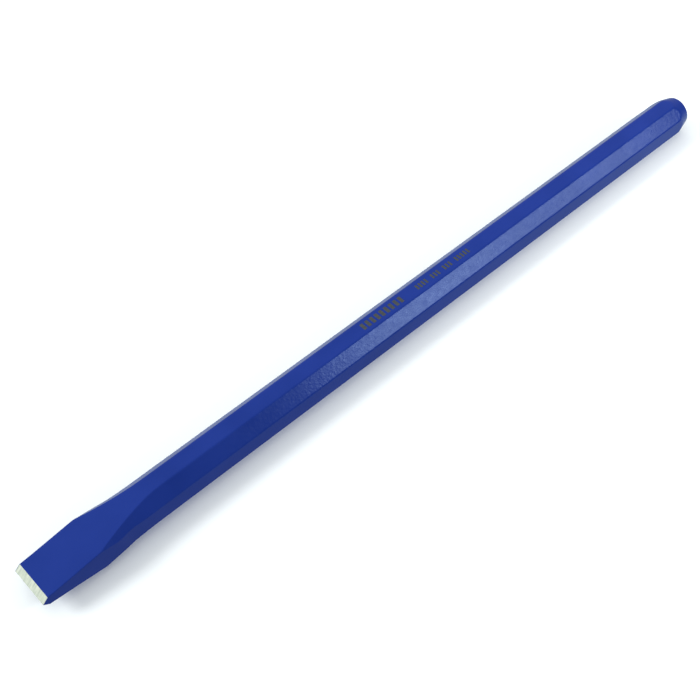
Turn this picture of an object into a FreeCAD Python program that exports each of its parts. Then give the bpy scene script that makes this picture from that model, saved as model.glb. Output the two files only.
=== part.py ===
import FreeCAD, Part
import Sketcher
import math
import os

# A long cold chisel, lying on one flat of its octagonal shank. The cutting edge is at -X, the
# struck head at +X, and the blade's broad faces look up and down. The row frame's origin is at
# mid-length, mid-width, on the surface that the chisel lies on. Each body is drawn in the tool's
# own frame, with the cutting edge at x = 0 and the axis through the shank's centre, and its
# Placement moves it into the row frame.

# Driving dimensions in millimetres (ratios have no unit). Steel sizes are those of the bare metal.
DIMENSIONS = {
    "overall_length": 450.0,      # cutting edge to the painted end of the head
    "shank_flats": 21.0,          # steel octagon, across its flats
    "coat_film": 0.12,            # lacquer thickness
    "blade_width": 23.4,          # steel, across the blade's side faces
    "edge_thickness": 4.56,       # the blade's wedge, carried on to the cutting edge
    "root_distance": 66.0,        # cutting edge to where the wedge meets the shank's flats
    "root_blend": 7.5,            # tangent length of the rounding between wedge and flat
    "bevel_ratio": 0.84,          # rise over run of each ground bevel (40 degrees)
    "flare_begin": 39.4,          # cutting edge to the end of the blade's full width
    "flare_finish": 53.0,         # cutting edge to where the sides are back at the flats
    "sweep_distance": 65.5,       # cutting edge to where the diagonal flats start to sweep out
    "sweep_rise": 8.9,            # how far the diagonal flats have swept out at the edge
    "chamfer_ratio": 0.3,         # radius lost per length along the head's turned chamfer
    "head_face_radius": 8.4,      # steel, the struck face out to the sharp rim
    "head_rim_radius": 1.0,       # rounding of that rim
    "trim_margin": 3.0,           # how far each trimming outline reaches past the steel
    "trim_reach": 24.0,           # half-width of the space that the trimming outlines cover
    "ink_film": 0.04,             # thickness of the printed bars
    "bold_start": 201.2,          # cutting edge to the first bold bar
    "bold_pitch": 3.2,
    "bold_bar_width": 1.9,
    "bold_bar_height": 4.4,
    "fine_start": 239.0,          # cutting edge to the first fine bar
    "fine_pitch": 2.1,
    "fine_bar_width": 1.2,
    "fine_bar_height": 3.4,
    "fine_group_gap": 2.4,        # extra space between two groups of fine bars
}
BOLD_BARS = 9
FINE_GROUPS = (4, 3, 3, 5)
SHEET = "dimensions"
DIAGONALS = (45.0, -45.0)


class Measure:
    """A size as its present value and as the spreadsheet expression that drives it."""

    def __init__(self, value, text):
        self.value = float(value)
        self.text = text

    def combine(self, other, sign, value):
        return Measure(value, "({} {} {})".format(self.text, sign, as_measure(other).text))

    def __add__(self, other):
        return self.combine(other, "+", self.value + as_measure(other).value)

    def __sub__(self, other):
        return self.combine(other, "-", self.value - as_measure(other).value)

    def __mul__(self, other):
        return self.combine(other, "*", self.value * as_measure(other).value)

    def __truediv__(self, other):
        return self.combine(other, "/", self.value / as_measure(other).value)


def as_measure(number):
    """A Measure as it is, or a plain number as a Measure."""
    return number if isinstance(number, Measure) else Measure(number, repr(float(number)))


def size(alias):
    """The Measure of one spreadsheet cell."""
    return Measure(DIMENSIONS[alias], "{}.{}".format(SHEET, alias))


def square_root(measure):
    return Measure(math.sqrt(measure.value), "sqrt({})".format(measure.text))


def slant(ratio):
    """Length of a slope per unit of run, for a slope of this rise over run."""
    return square_root(ratio * ratio + 1)


class Node:
    """A corner of an outline. An arc to the next corner has a radius, and bulges up or down."""

    def __init__(self, x, y, radius=None, bulge=0):
        self.x = as_measure(x)
        self.y = as_measure(y)
        self.radius = radius
        self.bulge = bulge

    def mirrored(self):
        return Node(self.x, self.y * -1, self.radius, -self.bulge)

    def point(self):
        return FreeCAD.Vector(self.x.value, self.y.value, 0)


def make_sheet(doc):
    sheet = doc.addObject("Spreadsheet::Sheet", SHEET)
    for row, (alias, value) in enumerate(DIMENSIONS.items(), start=1):
        sheet.set("A{}".format(row), alias)
        sheet.set("B{}".format(row), str(value))
        sheet.setAlias("B{}".format(row), alias)
    doc.recompute()


def make_body(doc, name):
    """A body drawn in the tool's own frame and placed in the row frame."""
    body = doc.addObject("PartDesign::Body", name)
    body.Label = name
    body.setExpression("Placement.Base.x", (size("overall_length") / -2).text)
    body.setExpression("Placement.Base.z", (size("shank_flats") / 2 + size("coat_film")).text)
    return body


def make_sketch(body, name, role, turn=0.0):
    """A sketch on one of the body's origin planes, turned about the tool's axis."""
    plane = next(item for item in body.Origin.OriginFeatures if item.Role == role)
    sketch = body.newObject("Sketcher::SketchObject", "{}_{}".format(body.Name, name))
    sketch.AttachmentSupport = [(plane, "")]
    sketch.MapMode = "FlatFace"
    turned = FreeCAD.Rotation(FreeCAD.Vector(1, 0, 0), turn)
    sketch.AttachmentOffset = FreeCAD.Placement(FreeCAD.Vector(0, 0, 0), turned)
    return sketch


def segment(node, following):
    """The line or the arc between two corners. An arc always runs anticlockwise."""
    start = node.point()
    end = following.point()
    if node.radius is None:
        return Part.LineSegment(start, end)
    radius = node.radius.value
    chord = end - start
    upward = FreeCAD.Vector(-chord.y, chord.x, 0).normalize() * (1 if chord.x > 0 else -1)
    offset = math.sqrt(radius ** 2 - (chord.Length / 2) ** 2)
    centre = start + chord / 2 - upward * (offset * node.bulge)
    first = math.atan2(start.y - centre.y, start.x - centre.x)
    last = math.atan2(end.y - centre.y, end.x - centre.x)
    if (last - first) % (2 * math.pi) > math.pi:
        first, last = last, first
    return Part.ArcOfCircle(Part.Circle(centre, FreeCAD.Vector(0, 0, 1), radius), first, last)


def bind(sketch, constraint, measure, name):
    """Add a dimension and drive it from the spreadsheet."""
    index = sketch.addConstraint(constraint)
    sketch.renameConstraint(index, name)
    sketch.setExpression("Constraints.{}".format(name), measure.text)


def fix_corner(sketch, geometry, end, node, name):
    """Hold a corner at its two distances from the origin, or on an axis where one is zero."""
    if node.x.value == 0:
        sketch.addConstraint(Sketcher.Constraint("PointOnObject", geometry, end, -2))
    else:
        across = Sketcher.Constraint("DistanceX", -1, 1, geometry, end, node.x.value)
        bind(sketch, across, node.x, name + "_x")
    if node.y.value == 0:
        sketch.addConstraint(Sketcher.Constraint("PointOnObject", geometry, end, -1))
    else:
        upward = Sketcher.Constraint("DistanceY", -1, 1, geometry, end, node.y.value)
        bind(sketch, upward, node.y, name + "_y")


def draw_outline(sketch, nodes, name):
    """Draw a closed outline through the corners and constrain it fully."""
    ends = []
    for node, following in zip(nodes, nodes[1:] + nodes[:1]):
        geometry = sketch.addGeometry(segment(node, following))
        forward = sketch.Geometry[geometry].StartPoint.distanceToPoint(node.point()) < 1e-6
        ends.append((geometry, 1 if forward else 2, 2 if forward else 1))
    for index, node in enumerate(nodes):
        geometry, start, finish = ends[index]
        next_geometry, next_start, _ = ends[(index + 1) % len(nodes)]
        corner = "{}_{}".format(name, index)
        joint = Sketcher.Constraint("Coincident", geometry, finish, next_geometry, next_start)
        sketch.addConstraint(joint)
        fix_corner(sketch, geometry, start, node, corner)
        if node.radius is not None:
            bend = Sketcher.Constraint("Radius", geometry, node.radius.value)
            bind(sketch, bend, node.radius, corner + "_radius")


def side_outline(grow):
    """Blade, shank and head seen from the side: the wedge, its rounded root and the bevels."""
    half_flats = size("shank_flats") / 2 + grow
    wedge = (size("shank_flats") - size("edge_thickness")) / 2 / size("root_distance")
    stretch = slant(wedge)
    edge_rise = size("edge_thickness") / 2 + stretch * grow
    bevel_end = edge_rise / (size("bevel_ratio") - wedge)
    root = (half_flats - edge_rise) / wedge
    blend = size("root_blend")
    blend_radius = blend * wedge / (stretch - 1)
    length = size("overall_length") - size("coat_film") + grow
    upper = [
        Node(bevel_end, bevel_end * size("bevel_ratio")),
        Node(root - blend / stretch, half_flats - blend * wedge / stretch, blend_radius, 1),
        Node(root + blend, half_flats),
        Node(length, half_flats),
    ]
    return [Node(0, 0)] + upper + lower_half(upper)


def lower_half(upper):
    """The mirror image of an upper half, walked back from the head to the edge."""
    corners = [node.mirrored() for node in reversed(upper)]
    for corner, following in zip(corners, corners[1:]):
        corner.radius, corner.bulge = following.radius, following.bulge
    corners[-1].radius = None
    return corners


def plan_edge(grow):
    """Side faces seen from above: full blade width, two tangent arcs, then the shank's flats."""
    narrow = size("shank_flats") / 2 + grow
    wide = size("blade_width") / 2 + grow
    run = size("flare_finish") - size("flare_begin")
    rise = size("blade_width") / 2 - size("shank_flats") / 2
    radius = (run * run + rise * rise) / (rise * 4)
    return [
        Node(size("trim_margin") * -1, wide),
        Node(size("flare_begin"), wide, radius, 1),
        Node(size("flare_begin") + run / 2, (wide + narrow) / 2, radius, -1),
        Node(size("flare_finish"), narrow),
        Node(size("overall_length") + size("trim_margin"), narrow),
    ]


def diagonal_edge(grow):
    """Diagonal flats seen square on: they sweep out of the blade in one long arc."""
    flat = size("shank_flats") / 2 + grow
    run = size("sweep_distance")
    rise = size("sweep_rise")
    radius = (run * run + rise * rise) / (rise * 2)
    return [
        Node(size("trim_margin") * -1, flat + rise),
        Node(0, flat + rise, radius, -1),
        Node(run, flat),
        Node(size("overall_length") + size("trim_margin"), flat),
    ]


def head_ring(grow):
    """What turning takes off round the head: the chamfer and the rounded rim."""
    ratio = size("chamfer_ratio")
    stretch = slant(ratio)
    end = size("overall_length") - size("coat_film") + grow
    rim = size("head_rim_radius") + grow
    face = size("head_face_radius") + grow * (stretch - ratio)
    setback = rim * (stretch - ratio)
    outside = size("trim_reach")
    chamfer_start = end - (outside - face) / ratio
    return [
        Node(chamfer_start, outside),
        Node(end - setback / stretch, face + setback * ratio / stretch, rim, 1),
        Node(end, face - setback),
        Node(end + size("trim_margin"), face - setback),
        Node(end + size("trim_margin"), outside),
    ]


def trim_away(body, name, role, turn, edge):
    """Cut off what lies outside a pair of mirrored edges, right through the body."""
    reach = size("trim_reach")
    closed = edge + [Node(edge[-1].x, reach), Node(edge[0].x, reach)]
    sketch = make_sketch(body, name + "_sketch", role, turn)
    draw_outline(sketch, closed, "upper")
    draw_outline(sketch, [node.mirrored() for node in closed], "lower")
    pocket = body.newObject("PartDesign::Pocket", "{}_{}".format(body.Name, name))
    pocket.Profile = sketch
    pocket.SideType = "Symmetric"
    pocket.setExpression("Length", (reach * 2).text)


def turn_head(body, grow):
    """Turn the chamfer and the rounded rim at the struck end."""
    sketch = make_sketch(body, "head_sketch", "XZ_Plane")
    draw_outline(sketch, head_ring(grow), "ring")
    groove = body.newObject("PartDesign::Groove", "{}_head_groove".format(body.Name))
    groove.Profile = sketch
    groove.ReferenceAxis = (sketch, ["H_Axis"])
    groove.Angle = 360.0


def make_chisel_body(doc, name, grow):
    """The chisel's shape, grown all round by a film but for the ground bevels."""
    body = make_body(doc, name)
    sketch = make_sketch(body, "side_sketch", "XZ_Plane")
    draw_outline(sketch, side_outline(grow), "side")
    pad = body.newObject("PartDesign::Pad", "{}_pad".format(name))
    pad.Profile = sketch
    pad.SideType = "Symmetric"
    pad.setExpression("Length", (size("trim_reach") * 2).text)
    trim_away(body, "plan", "XY_Plane", 0.0, plan_edge(grow))
    for number, turn in enumerate(DIAGONALS, start=1):
        trim_away(body, "diagonal_{}".format(number), "XY_Plane", turn, diagonal_edge(grow))
    turn_head(body, grow)
    return body


def make_lacquer_coat(doc, forging):
    """The lacquer: the painted shape less the steel. Both end at the same ground bevels."""
    coat = doc.addObject("Part::Cut", "lacquer_coat")
    coat.Base = make_chisel_body(doc, "painted_outside", size("coat_film"))
    coat.Tool = forging
    coat.Label = "lacquer_coat"
    return coat


def make_bar(doc, name, start, kind):
    """One printed bar on the shank's top flat, square to the axis."""
    bar = doc.addObject("Part::Box", name)
    height = size(kind + "_bar_height")
    bar.setExpression("Length", size(kind + "_bar_width").text)
    bar.setExpression("Width", height.text)
    bar.setExpression("Height", size("ink_film").text)
    bar.setExpression("Placement.Base.x", (start - size("overall_length") / 2).text)
    bar.setExpression("Placement.Base.y", (height / -2).text)
    bar.setExpression("Placement.Base.z", (size("shank_flats") + size("coat_film") * 2).text)
    return bar


def make_printed_mark(doc):
    """A plain row of bold bars, then groups of fine bars, all in one ink film."""
    bars = []
    for index in range(BOLD_BARS):
        start = size("bold_start") + size("bold_pitch") * index
        bars.append(make_bar(doc, "bold_bar_{}".format(index + 1), start, "bold"))
    place = 0
    for group, count in enumerate(FINE_GROUPS):
        for _ in range(count):
            start = size("fine_start") + size("fine_pitch") * place + size("fine_group_gap") * group
            place += 1
            bars.append(make_bar(doc, "fine_bar_{}".format(place), start, "fine"))
    mark = doc.addObject("Part::Compound", "printed_mark")
    mark.Links = bars
    mark.Label = "printed_mark"
    return mark


def check(doc, parts):
    """Stop if any object failed, or if a sub-part's shape is null or not valid."""
    for item in doc.Objects:
        if "Invalid" in item.State or "Error" in item.State:
            raise RuntimeError("{} failed: {}".format(item.Name, item.State))
    for part in parts:
        if part.Shape.isNull() or not part.Shape.isValid():
            raise RuntimeError("{} has no valid shape".format(part.Label))


def main():
    doc = FreeCAD.newDocument("cold_chisel")
    make_sheet(doc)
    forging = make_chisel_body(doc, "forged_body", as_measure(0))
    parts = [forging, make_lacquer_coat(doc, forging), make_printed_mark(doc)]
    doc.recompute()
    check(doc, parts)
    os.makedirs("parts", exist_ok=True)
    for part in parts:
        part.Shape.exportStep("parts/{}.step".format(part.Label))
        box = part.Shape.optimalBoundingBox()
        print("{}: {} solid(s), {:.1f} mm3".format(part.Label, len(part.Shape.Solids), part.Shape.Volume))
        print("  {:.2f} x {:.2f} x {:.2f} mm".format(box.XLength, box.YLength, box.ZLength))


main()
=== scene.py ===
"""Looks for a long cold chisel: a lacquered steel forging with printed bars, on a pale floor."""

import math

import bmesh
import bpy
from mathutils import Matrix, Vector, noise


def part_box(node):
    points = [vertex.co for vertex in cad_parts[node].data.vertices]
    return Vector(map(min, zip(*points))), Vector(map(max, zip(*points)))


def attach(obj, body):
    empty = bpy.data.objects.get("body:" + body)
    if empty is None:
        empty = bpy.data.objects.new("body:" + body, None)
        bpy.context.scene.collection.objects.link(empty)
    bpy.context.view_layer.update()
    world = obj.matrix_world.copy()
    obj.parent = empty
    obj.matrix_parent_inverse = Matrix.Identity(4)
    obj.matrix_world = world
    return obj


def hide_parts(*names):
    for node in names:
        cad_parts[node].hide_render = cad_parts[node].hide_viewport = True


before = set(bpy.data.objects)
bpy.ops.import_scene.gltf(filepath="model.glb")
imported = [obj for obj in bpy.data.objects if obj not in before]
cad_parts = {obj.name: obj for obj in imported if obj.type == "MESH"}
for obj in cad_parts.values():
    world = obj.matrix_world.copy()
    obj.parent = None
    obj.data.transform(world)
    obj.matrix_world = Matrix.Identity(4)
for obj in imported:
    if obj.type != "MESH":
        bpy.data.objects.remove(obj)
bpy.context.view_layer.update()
ROOT = "root"
MM = 0.001

# ---- Sizes. The outside ones come from the frame; the others repeat the forging's own shape. ----
COAT_LOW, COAT_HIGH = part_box("lacquer_coat")
STEEL_LOW, STEEL_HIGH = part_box("forged_body")
INK_LOW, INK_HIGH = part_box("printed_mark")
EDGE_X = COAT_LOW.x                                  # the cutting edge
LENGTH = COAT_HIGH.x - COAT_LOW.x
AXIS_Z = (COAT_LOW.z + COAT_HIGH.z) / 2              # height of the tool's axis
FILM = STEEL_LOW.z - COAT_LOW.z                      # lacquer thickness
HALF_FLATS = (STEEL_HIGH.z - STEEL_LOW.z) / 2
HALF_BLADE = (STEEL_HIGH.y - STEEL_LOW.y) / 2
INK_FILM = INK_HIGH.z - INK_LOW.z
HALF_EDGE = 2.28 * MM                                # wedge's half-thickness at the cutting edge
ROOT_X = 66.0 * MM                                   # where the wedge meets the flats
ROOT_BLEND = 7.5 * MM
BEVEL = 0.84                                         # rise over run of the ground bevels
FLARE_BEGIN, FLARE_END = 39.4 * MM, 53.0 * MM
SWEEP_X, SWEEP_RISE = 65.5 * MM, 8.9 * MM
CHAMFER = 0.3                                        # radius lost per length on the head
FACE_RADIUS = 8.4 * MM
RIM_RADIUS = 1.0 * MM
SHANK_RIDGE, BLADE_RIDGE = 1.5 * MM, 0.38 * MM       # rounding of the long edges
RIDGE_FADE = (40 * MM, 90 * MM)                      # where one rounding gives way to the other
RIDGE_LEAST = 0.05 * MM                              # the bare steel's sharpest rounding
CROWN = 0.15 * MM                                    # fall of the blade's broad faces at their sides
CROWN_BEGIN, CROWN_END = (2 * MM, 15 * MM), (55 * MM, 72 * MM)
ARCH_BLEND = 0.35 * MM                               # rounding where the chamfer meets the flats

# ---- Slight unevenness of the lacquered forging: depths in mm, and noise cells a metre ----
SAG_BROAD, SAG_BROAD_ALONG, SAG_BROAD_ACROSS = 0.022, 38, 70
SAG_FINE, SAG_FINE_CELLS, SAG_FINE_SHIFT = 0.006, 150, 7   # the shift keeps the two noises apart

# ---- Printed bars ----
INK_CORNER = 0.3 * MM
INK_SINK = 0.01 * MM                                 # how far the bars reach into the lacquer
INK_SOFT_EDGE = 0.04 * MM
INK_SIDE_SHARE = 0.6                                 # share of the ink's height that is upright

# ---- Mesh density ----
ARC_STEPS = 5                                        # faces round each long edge
FLAT_STOPS = (0.03, 0.1, 0.3, 0.5, 0.7, 0.9, 0.97)   # shares of the way across each flat
BEVEL_STEPS = (0.0, 0.04, 0.12, 0.3, 0.6)            # shares of the way from bevel to TIP_ROW
BEVEL_ROUNDS = 12                                    # rounds of the search for a bevel's start
TIP_ROW = 8 * MM                                     # rows are straight across from here on
HEAD_ROW = 430 * MM                                  # and up to here
ROOT_ROWS_END = ROOT_X + 2 * ROOT_BLEND              # rows lie closer together up to here
OUTSIDE_SPACING = (1.0 * MM, 3.0 * MM)               # between rows on the blade and on the shank
INSIDE_SPACING = (4.0 * MM, 30.0 * MM)
ARCH_ROWS = (-3.0, -1.6, -1.0, -0.6, -0.3, 0.0, 0.3, 0.6, 1.0, 1.6)   # mm from the chamfer's line
CHAMFER_STEPS = (0.3, 0.6, 0.85, 1.0)                # shares of the way on to the rim
RIM_STEPS = 6
FACE_STEPS = (0.96, 0.8, 0.5, 0.2)                   # shares of the struck face's radius
INK_CORNER_STEPS = 4
MERGE_DISTANCE = 1e-7
FLAT_TURN = 45.0                                     # degrees from one flat to the next
PLACE_DIGITS, SAME_PLACE = 6, 1e-5                   # how closely the printed bars' ends are told

# ---- Looks: noise scales are cells a metre ----
NOISE_NARROW, NOISE_WIDE = (0.35, 0.65), (0.3, 0.7)  # the noise between these spans a whole range
LACQUER_DEEP = (0.0070, 0.0245, 0.195)
LACQUER_LIGHT = (0.0088, 0.0278, 0.213)
LACQUER_IOR = 1.27
LACQUER_TINT = (0.48, 0.68, 1.0)
LACQUER_GLOSS = (0.20, 0.26)                         # least and most roughness
LACQUER_CLOUDS, LACQUER_DULL_SPOTS = 45, 320
PEEL_SCALE, PEEL_DEPTH = 620, 0.065 * MM
GRAIN_SCALE, GRAIN_DEPTH = 1500, 0.008 * MM
STEEL_DARK = (0.29, 0.335, 0.28)
STEEL_LIGHT = (0.455, 0.495, 0.42)
STEEL_GLOSS = (0.30, 0.46)
STEEL_LINES, STEEL_PATCHES = (160, 2600, 160), (170, 900, 170)
STEEL_DEPTH = 0.004 * MM
INK_DARK = (0.020, 0.026, 0.031)
INK_LIGHT = (0.032, 0.039, 0.041)
INK_BLOTS, INK_ROUGHNESS = 900, 0.55
FLOOR_COLOUR = (0.87, 0.92, 0.93)
FLOOR_ROUGHNESS, FLOOR_SPECULAR = 0.9, 0.1
FLOOR_SIZE, FLOOR_Z = 30.0, -0.05 * MM               # just clear of the tool's lowest flat

# ---- Studio ----
STRIP_ALONG = (0.969, 0.198, -0.132)                 # the front strips lie along this direction
STRIP_HEIGHT = 0.09
FRONT_STRIPS = (                                     # name, place, target, length, watts
    ("front_strip_left", (0.278, -0.446, 0.319), (0.191, -0.021, 0.024), 0.21, 1.46),
    ("front_strip_right", (0.488, -0.403, 0.290), (0.401, 0.022, -0.005), 0.22, 0.96),
)
KEY_DIRECTION = (-0.62, 0.48, 0.62)
KEY_STRENGTH, KEY_ANGLE = 1.8, math.radians(22)
DOME_AXIS = (-0.52, 0.54, 0.66)                      # towards the dome's brightest side
DOME_RANGE = (-0.5, 0.9)                             # along that axis, from dim to bright
DOME_DIM = (0.24, 0.24, 0.24)
DOME_BRIGHT = (1.13, 1.13, 1.13)
HORIZON_RANGE = (-0.3, 0.0)                          # heights from the table's glow to the dome
TABLE_OUT_RANGE = (-0.84, -0.63)                     # heights from the near glow to the far one
TABLE_BACK_RANGE = (-0.3, 0.5)                       # from in front of the tool to behind it
TABLE_NEAR = (0.40, 0.44, 0.55)                      # light from straight below, in the tool's shade
TABLE_FRONT = (0.76, 0.95, 1.0)                      # and from further out, in front of the tool
TABLE_BACK = (0.68, 0.77, 0.79)                      # or behind it
BACKDROP = (1.0, 1.0, 1.0)
CAMERA_PLACE = Vector((-0.2684, -0.3151, 0.4795))
CAMERA_FORWARD = Vector((0.385, 0.515, -0.765))
CAMERA_UP = Vector((0.548, 0.540, 0.639))
CAMERA_LENS, CAMERA_SENSOR = 62.26, 36.0             # millimetres
CAMERA_CLIP = (0.01, 50.0)


def smooth(value, low, high):
    """0 below low, 1 above high, and an even curve between."""
    share = min(max((value - low) / (high - low), 0.0), 1.0)
    return share * share * (3 - 2 * share)


def arc_drop(run, radius):
    """How far an arc has left its tangent after this run."""
    return radius - math.sqrt(max(radius * radius - run * run, 0.0))


# ---- The forging's shape: half-sizes of a section at x from the cutting edge ----
def half_thickness(x, grow):
    """The blade's wedge, a rounded root, and the shank's flats."""
    flat = HALF_FLATS + grow
    slope = (HALF_FLATS - HALF_EDGE) / ROOT_X
    stretch = math.hypot(1, slope)
    edge = HALF_EDGE + grow * stretch
    corner = (flat - edge) / slope
    if x <= corner - ROOT_BLEND / stretch:
        return edge + slope * x
    if x >= corner + ROOT_BLEND:
        return flat
    return flat - arc_drop(corner + ROOT_BLEND - x, ROOT_BLEND * slope / (stretch - 1))


def half_width(x, grow):
    """The side faces: full blade width, two tangent arcs, then the shank's flats."""
    run = FLARE_END - FLARE_BEGIN
    rise = HALF_BLADE - HALF_FLATS
    radius = (run * run + rise * rise) / (4 * rise)
    if x <= FLARE_BEGIN:
        return HALF_BLADE + grow
    if x >= FLARE_END:
        return HALF_FLATS + grow
    if x <= (FLARE_BEGIN + FLARE_END) / 2:
        return HALF_BLADE + grow - arc_drop(x - FLARE_BEGIN, radius)
    return HALF_FLATS + grow + arc_drop(FLARE_END - x, radius)


def half_diagonal(x, grow):
    """The diagonal flats, which sweep out of the blade in one long arc."""
    radius = (SWEEP_X ** 2 + SWEEP_RISE ** 2) / (2 * SWEEP_RISE)
    return HALF_FLATS + grow + arc_drop(max(SWEEP_X - x, 0.0), radius)


def crown(x):
    """How much lower the blade's broad faces are at their sides than along the middle."""
    return CROWN * smooth(x, *CROWN_BEGIN) * (1 - smooth(x, *CROWN_END))


def quarter(x, grow):
    """Corner points of a quarter section from the side flat round to the broad flat."""
    radius = BLADE_RIDGE + (SHANK_RIDGE - BLADE_RIDGE) * smooth(x, *RIDGE_FADE)
    radius = max(radius - FILM + grow, RIDGE_LEAST)
    wide = half_width(x, grow) - radius
    high = half_thickness(x, grow) - radius
    cut = max(wide + high - (half_diagonal(x, grow) - radius) * math.sqrt(2), 0.0)
    points = []
    for centre, first in (((wide, high - cut), 0.0), ((wide - cut, high), FLAT_TURN)):
        for step in range(ARC_STEPS + 1):
            angle = math.radians(first + FLAT_TURN * step / ARC_STEPS)
            points.append((centre[0] + radius * math.cos(angle),
                           centre[1] + radius * math.sin(angle)))
    return points


def section(x, grow):
    """Closed section, anticlockwise from the middle of the +Y flat: rounded corners, divided flats."""
    first = quarter(x, grow)
    second = [(-y, z) for y, z in reversed(first)]
    third = [(-y, -z) for y, z in first]
    fourth = [(y, -z) for y, z in reversed(first)]
    arcs = []
    for corner in (first, second, third, fourth):
        arcs += [corner[:ARC_STEPS + 1], corner[ARC_STEPS + 1:]]
    ring = []
    for arc, following in zip(arcs, arcs[1:] + arcs[:1]):
        ring += arc
        (ya, za), (yb, zb) = arc[-1], following[0]
        ring += [(ya + (yb - ya) * stop, za + (zb - za) * stop) for stop in FLAT_STOPS]
    shift = len(FLAT_STOPS) // 2 + 1
    ring = ring[-shift:] + ring[:-shift]
    drop = crown(x) / half_thickness(x, grow)
    wide = half_width(x, grow)
    return [(y, z * (1 - drop * (y / wide) ** 2)) for y, z in ring]


def bevel_start(column, grow):
    """x where this column of the section meets the ground bevel's plane."""
    x = 0.0
    for _ in range(BEVEL_ROUNDS):
        x = abs(section(x, grow)[column][1]) / BEVEL
    return x


def chamfer_radius(x, grow):
    """Radius of the head's turned chamfer."""
    end = LENGTH - FILM + grow
    face = FACE_RADIUS + grow * (math.hypot(1, CHAMFER) - CHAMFER)
    return face + (end - x) * CHAMFER


def soft_minimum(first, second, blend):
    """The smaller of two sizes, eased where they come within the blend of each other."""
    overlap = max(blend - abs(first - second), 0.0)
    return min(first, second) - overlap * overlap / (4 * blend)


def surface_rows(grow, spacing_blade, spacing_shank):
    """The forging's surface as rows of points: bevel boundary, blade, shank, chamfer, rim, face."""
    tip = section(TIP_ROW, grow)
    columns = range(len(tip))
    starts = [bevel_start(column, grow) for column in columns]
    rows = []
    for share in BEVEL_STEPS:
        row = []
        for column in columns:
            x = starts[column] + (TIP_ROW - starts[column]) * share
            row.append((x, *section(x, grow)[column]))
        rows.append(row)
    x = TIP_ROW
    while x < HEAD_ROW:
        rows.append([(x, y, z) for y, z in section(x, grow)])
        x += spacing_blade if x < ROOT_ROWS_END else spacing_shank
    rows += head_rows(grow)
    return rows


def head_rows(grow):
    """Arched rows where the chamfer cuts the flats, then the chamfer, the rim and the struck face."""
    shank = section(HEAD_ROW, grow)
    reach = [math.hypot(y, z) for y, z in shank]
    end = LENGTH - FILM + grow
    face = chamfer_radius(end, grow)
    stretch = math.hypot(1, CHAMFER)
    rim = RIM_RADIUS + grow
    setback = rim * (stretch - CHAMFER)
    rim_x = end - setback / stretch
    arch = [end - (radius - face) / CHAMFER for radius in reach]
    rows = []

    def add(xs, radii):
        """Add a ring of points at these places along the tool, this far from its axis."""
        rows.append([(x, y * radius / full, z * radius / full)
                     for x, radius, full, (y, z) in zip(xs, radii, reach, shank)])

    for offset in ARCH_ROWS:
        xs = [x + offset * MM for x in arch]
        add(xs, [soft_minimum(full, chamfer_radius(x, grow), ARCH_BLEND)
                 for full, x in zip(reach, xs)])
    last = ARCH_ROWS[-1] * MM
    for share in CHAMFER_STEPS:
        xs = [x + last + (rim_x - x - last) * share for x in arch]
        add(xs, [chamfer_radius(x, grow) for x in xs])
    lean = math.atan(CHAMFER)
    rim_centre = (end - rim, face - setback)
    for step in range(1, RIM_STEPS + 1):
        angle = math.pi / 2 - lean - (math.pi / 2 - lean) * step / RIM_STEPS
        x = rim_centre[0] + rim * math.cos(angle)
        radius = rim_centre[1] + rim * math.sin(angle)
        add([x] * len(reach), [radius] * len(reach))
    for share in FACE_STEPS:
        add([end] * len(reach), [rim_centre[1] * share] * len(reach))
    return rows


def sag(x, y, z):
    """Slight unevenness of the lacquered forging, always inwards."""
    broad = noise.noise(Vector((x * SAG_BROAD_ALONG, y * SAG_BROAD_ACROSS, z * SAG_BROAD_ACROSS)))
    fine = noise.noise(Vector((x * SAG_FINE_CELLS + SAG_FINE_SHIFT,
                               y * SAG_FINE_CELLS, z * SAG_FINE_CELLS)))
    return -(SAG_BROAD * (1 + broad) + SAG_FINE * (1 + fine)) * MM


def uneven(point):
    """A point of the even surface, moved straight towards the axis by its sag."""
    x, y, z = point
    radius = math.hypot(y, z)
    scale = 1 + sag(x, y, z) / radius
    return (x, y * scale, z * scale)


def world_point(point):
    """From the tool's own frame, with x from the cutting edge and z from the axis, to the scene."""
    x, y, z = point
    return Vector((EDGE_X + x, y, AXIS_Z + z))


def add_rows(mesh, rows, inward=False):
    """Skin rows of points with quads, close the last row to its middle, and return row one."""
    rings = [[mesh.verts.new(world_point(point)) for point in row] for row in rows]
    centre = mesh.verts.new(world_point((rows[-1][0][0], 0.0, 0.0)))
    count = len(rings[0])
    faces = []
    for ring, following in zip(rings, rings[1:]):
        for i in range(count):
            j = (i + 1) % count
            faces.append(mesh.faces.new((ring[i], ring[j], following[j], following[i])))
    for i in range(count):
        faces.append(mesh.faces.new((rings[-1][i], rings[-1][(i + 1) % count], centre)))
    if inward:
        bmesh.ops.reverse_faces(mesh, faces=faces)
    return rings[0]


def finish_mesh(mesh, name, material, smooth_shading=True):
    """Turn a finished bmesh into an object of the scene with one material."""
    bmesh.ops.remove_doubles(mesh, verts=mesh.verts, dist=MERGE_DISTANCE)
    bmesh.ops.recalc_face_normals(mesh, faces=mesh.faces)
    for face in mesh.faces:
        face.smooth = smooth_shading
    data = bpy.data.meshes.new(name)
    mesh.to_mesh(data)
    mesh.free()
    piece = bpy.data.objects.new(name, data)
    bpy.context.scene.collection.objects.link(piece)
    data.materials.append(material)
    return piece


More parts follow.
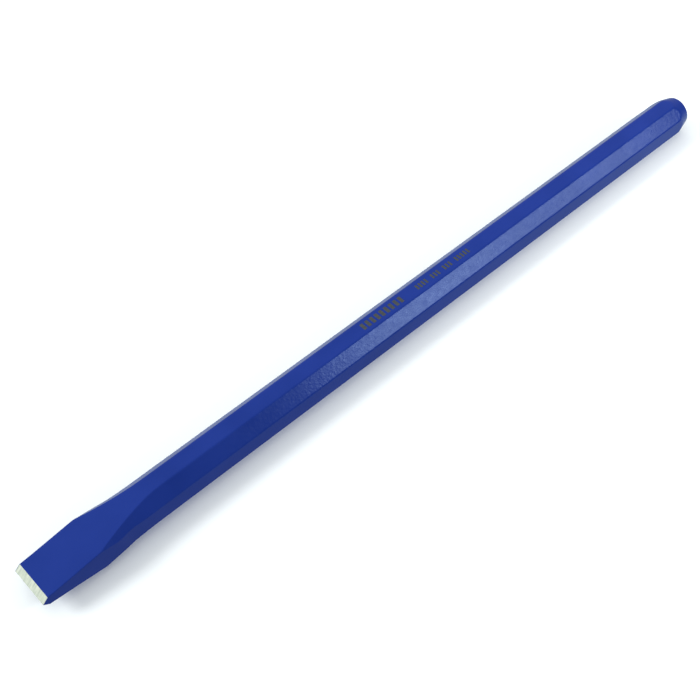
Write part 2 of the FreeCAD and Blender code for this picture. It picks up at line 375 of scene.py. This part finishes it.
def build_lacquer(material):
    """The coat: the steel's surface as its inside, an uneven outside, and an even rim at the bevels."""
    mesh = bmesh.new()
    even = surface_rows(FILM, *OUTSIDE_SPACING)
    outside = add_rows(mesh, even[:1] + [[uneven(point) for point in row] for row in even[1:]])
    inside = add_rows(mesh, surface_rows(0.0, *INSIDE_SPACING), inward=True)
    count = len(outside)
    for i in range(count):
        j = (i + 1) % count
        mesh.faces.new((outside[j], outside[i], inside[i], inside[j]))
    mark_sharp_rim(mesh, outside + inside)
    return finish_mesh(mesh, "blue_lacquer", material)


def mark_sharp_rim(mesh, verts):
    """Keep the edges between these points crisp under smooth shading."""
    rim = set(verts)
    for edge in mesh.edges:
        if edge.verts[0] in rim and edge.verts[1] in rim:
            edge.smooth = False


def build_steel(material):
    """The forging under the coat, with its two ground bevels."""
    mesh = bmesh.new()
    boundary = add_rows(mesh, surface_rows(0.0, *INSIDE_SPACING))
    count = len(boundary)
    half = count // 2
    for first in (0, half):
        add_bevel(mesh, [boundary[(first + i) % count] for i in range(half + 1)])
    mark_sharp_rim(mesh, boundary)
    return finish_mesh(mesh, "forged_steel", material)


def add_bevel(mesh, boundary):
    """One ground face: rows from the broad face's edge down its slope to the cutting edge."""
    side = len(FLAT_STOPS) // 2 + 1
    top = boundary[side:len(boundary) - side]
    rows = [top]
    for level in range(side, -1, -1):
        left, right = boundary[level], boundary[-1 - level]
        row = [left]
        for vert in top[1:-1]:
            share = (vert.co.y - left.co.y) / (right.co.y - left.co.y)
            row.append(mesh.verts.new(left.co.lerp(right.co, share)))
        rows.append(row + [right])
    for row, following in zip(rows, rows[1:]):
        for i in range(len(top) - 1):
            corners = (row[i], row[i + 1], following[i + 1], following[i])
            mesh.faces.new(tuple(dict.fromkeys(corners)))
    mark_sharp_rim(mesh, rows[-1])


# ---- Printed bars ----
def bar_boxes():
    """Ends and sides of each printed bar, read from the CAD node."""
    verts = [vert.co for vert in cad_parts["printed_mark"].data.vertices]
    ends = sorted({round(co.x, PLACE_DIGITS) for co in verts})
    boxes = []
    for low, high in zip(ends[::2], ends[1::2]):
        sides = [co.y for co in verts if abs(co.x - low) < SAME_PLACE]
        boxes.append((low, high, min(sides), max(sides)))
    return boxes


def flat_height(x, y):
    """Height of the lacquer on the top flat."""
    return AXIS_Z + uneven((x - EDGE_X, y, HALF_FLATS + FILM))[2]


def rounded_outline(low, high, front, back, radius):
    """A rectangle with round corners, anticlockwise."""
    outline = []
    corners = ((high, back, 0), (low, back, 90), (low, front, 180), (high, front, 270))
    for x, y, first in corners:
        cx = x - math.copysign(radius, x - (low + high) / 2)
        cy = y - math.copysign(radius, y - (front + back) / 2)
        for step in range(INK_CORNER_STEPS + 1):
            angle = math.radians(first + 90.0 * step / INK_CORNER_STEPS)
            outline.append((cx + radius * math.cos(angle), cy + radius * math.sin(angle)))
    return outline


def build_bars(material):
    """Thin slabs of ink with round corners and a softened top edge, lying on the lacquer."""
    mesh = bmesh.new()
    levels = ((0.0, -INK_SINK), (0.0, INK_FILM * INK_SIDE_SHARE), (INK_SOFT_EDGE, INK_FILM))
    for low, high, front, back in bar_boxes():
        rings = []
        for inset, lift in levels:
            outline = rounded_outline(low + inset, high - inset, front + inset, back - inset,
                                      INK_CORNER - inset)
            rings.append([mesh.verts.new((x, y, flat_height(x, y) + lift)) for x, y in outline])
        for ring, following in zip(rings, rings[1:]):
            for i in range(len(ring)):
                j = (i + 1) % len(ring)
                mesh.faces.new((ring[i], ring[j], following[j], following[i]))
        mesh.faces.new(rings[-1])
        mesh.faces.new(list(reversed(rings[0])))
    return finish_mesh(mesh, "printed_bars", material, smooth_shading=False)


# ---- Materials ----
def new_material(name):
    """A material with its shader and the object's own coordinates."""
    material = bpy.data.materials.new(name)
    material.use_nodes = True
    tree = material.node_tree
    shader = next(node for node in tree.nodes if node.type == "BSDF_PRINCIPLED")
    place = tree.nodes.new("ShaderNodeTexCoord")
    return material, tree, shader, place.outputs["Object"]


def add_noise(tree, place, scale, detail=2.0, stretch=(1, 1, 1)):
    """Noise with this many cells a metre, stretched along the axes."""
    mapping = tree.nodes.new("ShaderNodeMapping")
    mapping.inputs["Scale"].default_value = stretch
    texture = tree.nodes.new("ShaderNodeTexNoise")
    texture.inputs["Scale"].default_value = scale
    texture.inputs["Detail"].default_value = detail
    tree.links.new(place, mapping.inputs["Vector"])
    tree.links.new(mapping.outputs["Vector"], texture.inputs["Vector"])
    return texture.outputs["Fac"]


def add_range(tree, value, low, high, to_low=0.0, to_high=1.0):
    """The value's share of one range, carried over to another and held inside it."""
    node = tree.nodes.new("ShaderNodeMapRange")
    for name, number in (("From Min", low), ("From Max", high),
                         ("To Min", to_low), ("To Max", to_high)):
        node.inputs[name].default_value = number
    tree.links.new(value, node.inputs["Value"])
    return node.outputs["Result"]


def add_mix(tree, share, first, second):
    """A colour between two, which are plain colours or sockets."""
    node = tree.nodes.new("ShaderNodeMix")
    node.data_type = "RGBA"
    for name, colour in (("A", first), ("B", second)):
        socket = next(item for item in node.inputs if item.name == name and item.type == "RGBA")
        if isinstance(colour, tuple):
            socket.default_value = (*colour, 1.0)
        else:
            tree.links.new(colour, socket)
    tree.links.new(share, node.inputs["Factor"])
    return next(item for item in node.outputs if item.type == "RGBA")


def add_bump(tree, shader, height, distance, normal=None):
    """Relief of this height in metres on the shader's normal, over any relief below it."""
    node = tree.nodes.new("ShaderNodeBump")
    node.inputs["Distance"].default_value = distance
    node.inputs["Strength"].default_value = 1.0
    tree.links.new(height, node.inputs["Height"])
    if normal is not None:
        tree.links.new(normal, node.inputs["Normal"])
    tree.links.new(node.outputs["Normal"], shader.inputs["Normal"])
    return node.outputs["Normal"]


def lacquer_material():
    """Royal blue lacquer over forged steel: slight orange peel and slight cloudiness."""
    material, tree, shader, place = new_material("blue_lacquer")
    cloud = add_range(tree, add_noise(tree, place, LACQUER_CLOUDS), *NOISE_NARROW)
    colour = add_mix(tree, cloud, LACQUER_DEEP, LACQUER_LIGHT)
    tree.links.new(colour, shader.inputs["Base Color"])
    spots = add_noise(tree, place, LACQUER_DULL_SPOTS, detail=3.0)
    dull = add_range(tree, spots, *NOISE_WIDE, *LACQUER_GLOSS)
    tree.links.new(dull, shader.inputs["Roughness"])
    shader.inputs["IOR"].default_value = LACQUER_IOR
    shader.inputs["Specular Tint"].default_value = (*LACQUER_TINT, 1.0)
    peel = add_bump(tree, shader, add_noise(tree, place, PEEL_SCALE), PEEL_DEPTH)
    grain = add_noise(tree, place, GRAIN_SCALE, detail=3.0)
    add_bump(tree, shader, grain, GRAIN_DEPTH, normal=peel)
    return material


def steel_material():
    """Ground steel: fine lines square to the cutting edge."""
    material, tree, shader, place = new_material("ground_steel")
    lines = add_noise(tree, place, 1.0, detail=4.0, stretch=STEEL_LINES)
    patches = add_noise(tree, place, 1.0, detail=3.0, stretch=STEEL_PATCHES)
    shade = add_range(tree, patches, *NOISE_WIDE)
    colour = add_mix(tree, shade, STEEL_DARK, STEEL_LIGHT)
    tree.links.new(colour, shader.inputs["Base Color"])
    gloss = add_range(tree, lines, *NOISE_WIDE, *STEEL_GLOSS)
    tree.links.new(gloss, shader.inputs["Roughness"])
    shader.inputs["Metallic"].default_value = 1.0
    add_bump(tree, shader, lines, STEEL_DEPTH)
    return material


def ink_material():
    """Matt olive printing ink, a little uneven."""
    material, tree, shader, place = new_material("olive_ink")
    blot = add_range(tree, add_noise(tree, place, INK_BLOTS, detail=3.0), *NOISE_NARROW)
    tree.links.new(add_mix(tree, blot, INK_DARK, INK_LIGHT), shader.inputs["Base Color"])
    shader.inputs["Roughness"].default_value = INK_ROUGHNESS
    return material


def floor_material():
    """Matt, pale and even."""
    material, _, shader, _ = new_material("pale_floor")
    shader.inputs["Base Color"].default_value = (*FLOOR_COLOUR, 1.0)
    shader.inputs["Roughness"].default_value = FLOOR_ROUGHNESS
    shader.inputs["Specular IOR Level"].default_value = FLOOR_SPECULAR
    return material


# ---- Studio ----
def build_floor():
    """The pale floor shows to the camera and takes shadows; the dome holds the light it gives back."""
    mesh = bmesh.new()
    bmesh.ops.create_grid(mesh, x_segments=1, y_segments=1, size=FLOOR_SIZE)
    piece = finish_mesh(mesh, "floor", floor_material(), smooth_shading=False)
    piece.location.z = FLOOR_Z
    piece.visible_glossy = False
    piece.visible_diffuse = False


def add_strip(name, place, target, length, power):
    """A long rectangular light that faces the target."""
    data = bpy.data.lights.new(name, "AREA")
    data.shape = "RECTANGLE"
    data.size = length
    data.size_y = STRIP_HEIGHT
    data.energy = power
    back = (Vector(place) - Vector(target)).normalized()
    upright = back.cross(Vector(STRIP_ALONG)).normalized()
    light = bpy.data.objects.new(name, data)
    axes = Matrix((upright.cross(back), upright, back)).transposed()
    light.matrix_world = Matrix.Translation(place) @ axes.to_4x4()
    light.visible_camera = False
    bpy.context.scene.collection.objects.link(light)


def add_key():
    """A distant soft light from behind on the left, the same all over the floor."""
    data = bpy.data.lights.new("back_left_key", "SUN")
    data.energy = KEY_STRENGTH
    data.angle = KEY_ANGLE
    light = bpy.data.objects.new("back_left_key", data)
    light.rotation_euler = Vector(KEY_DIRECTION).to_track_quat("Z", "Y").to_euler()
    bpy.context.scene.collection.objects.link(light)


def build_dome():
    """Soft light from all round, brightest behind the tool, with a table's glow from below.

    The camera sees a plain backdrop in its place.
    """
    world = bpy.data.worlds.new("studio")
    bpy.context.scene.world = world
    world.use_nodes = True
    tree = world.node_tree
    direction = tree.nodes.new("ShaderNodeTexCoord").outputs["Generated"]
    facing = tree.nodes.new("ShaderNodeVectorMath")
    facing.operation = "DOT_PRODUCT"
    facing.inputs[1].default_value = DOME_AXIS
    parts = tree.nodes.new("ShaderNodeSeparateXYZ")
    tree.links.new(direction, facing.inputs[0])
    tree.links.new(direction, parts.inputs[0])
    above = add_range(tree, facing.outputs["Value"], *DOME_RANGE)
    behind = add_range(tree, parts.outputs["Y"], *TABLE_BACK_RANGE)
    beyond = add_range(tree, parts.outputs["Z"], *TABLE_OUT_RANGE)
    raised = add_range(tree, parts.outputs["Z"], *HORIZON_RANGE)
    dome = add_mix(tree, above, DOME_DIM, DOME_BRIGHT)
    table = add_mix(tree, beyond, TABLE_NEAR, add_mix(tree, behind, TABLE_FRONT, TABLE_BACK))
    light = add_mix(tree, raised, table, dome)
    seen = tree.nodes.new("ShaderNodeLightPath").outputs["Is Camera Ray"]
    colour = add_mix(tree, seen, light, BACKDROP)
    tree.links.new(colour, tree.nodes["Background"].inputs["Color"])


def build_camera():
    """A long lens from the front left, looking down along the tool towards its head."""
    forward = CAMERA_FORWARD.normalized()
    right = forward.cross(CAMERA_UP).normalized()
    up = right.cross(forward)
    data = bpy.data.cameras.new("camera")
    data.sensor_width = CAMERA_SENSOR
    data.lens = CAMERA_LENS
    data.clip_start, data.clip_end = CAMERA_CLIP
    camera = bpy.data.objects.new("camera", data)
    axes = Matrix((right, up, -forward)).transposed()
    camera.matrix_world = Matrix.Translation(CAMERA_PLACE) @ axes.to_4x4()
    bpy.context.scene.collection.objects.link(camera)
    bpy.context.scene.camera = camera


def main():
    """Build the studio, then the three pieces."""
    bpy.context.scene.view_settings.view_transform = "Standard"
    build_camera()
    build_floor()
    for strip in FRONT_STRIPS:
        add_strip(*strip)
    add_key()
    build_dome()
    lacquer = build_lacquer(lacquer_material())
    steel = build_steel(steel_material())
    bars = build_bars(ink_material())
    for piece, node, slot in ((lacquer, "lacquer_coat", "lacquer"),
                              (steel, "forged_body", "steel"),
                              (bars, "printed_mark", "ink")):
        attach(piece, ROOT)
        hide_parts(node)


main()
